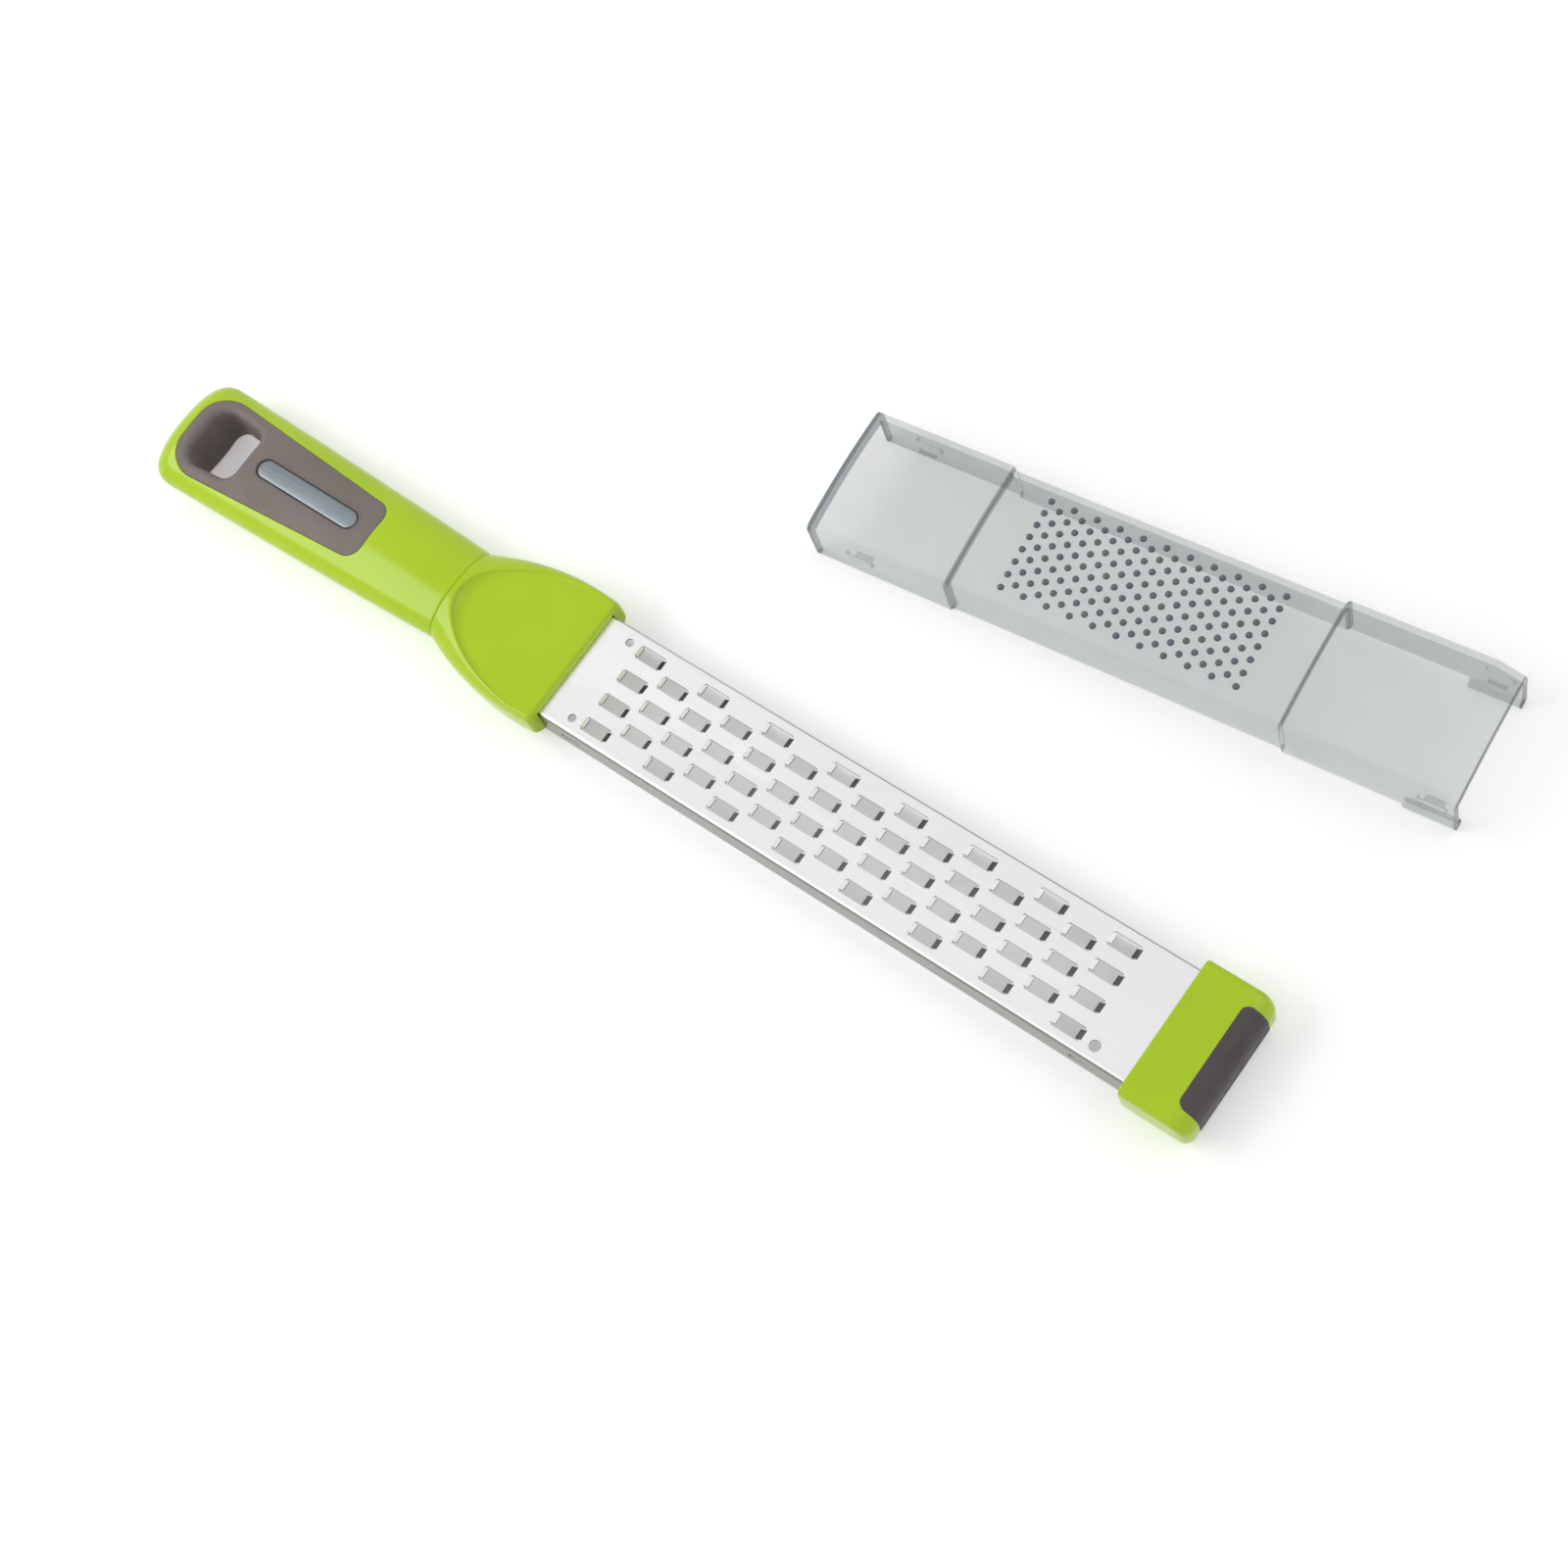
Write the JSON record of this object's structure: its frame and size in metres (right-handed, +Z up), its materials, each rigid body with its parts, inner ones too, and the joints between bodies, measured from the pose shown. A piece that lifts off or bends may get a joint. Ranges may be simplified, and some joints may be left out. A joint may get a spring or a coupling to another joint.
{
  "type": "rasp zester",
  "caption": "Hand rasp zester: toothed steel channel between a moulded handle with a hanging eye and a footed tip cap, with a clear clip-on blade cover lying beside it.",
  "frame": {"origin": "middle of the tip cap's underside, on the plane that the tool rests on", "axes": "+X from the handle to the tip, +Z up through the teeth, +Y to the side where the cover lies"},
  "size_m": [0.3333, 0.1291, 0.0169],
  "materials": {
    "blade_steel": "satin stainless steel",
    "lime_plastic": "glossy lime green",
    "grip_rubber": "matt taupe grey",
    "foot_rubber": "matt dark grey",
    "badge_metal": "satin silver",
    "inner_plastic": "matt moulded",
    "screw_steel": "bright",
    "cover_plastic": "clear smoky, glossy"
  },
  "bodies": {
    "zester": {"rasp_blade": "blade_steel", "neck": "lime_plastic", "tang_keeper": "inner_plastic", "keeper_screws": "screw_steel", "handle_core": "inner_plastic", "handle_shell": "lime_plastic", "grip_inlay": "grip_rubber", "badge_plate": "badge_metal", "tip_cap": "lime_plastic", "tip_core": "inner_plastic", "tip_foot": "foot_rubber"},
    "cover": {"blade_cover": "cover_plastic"}
  },
  "joints": [
    {"name": "cover_lift", "type": "slide", "parent": "zester", "child": "cover", "axis": [0, 0, 1], "range_m": [0, 0.06]}
  ]
}
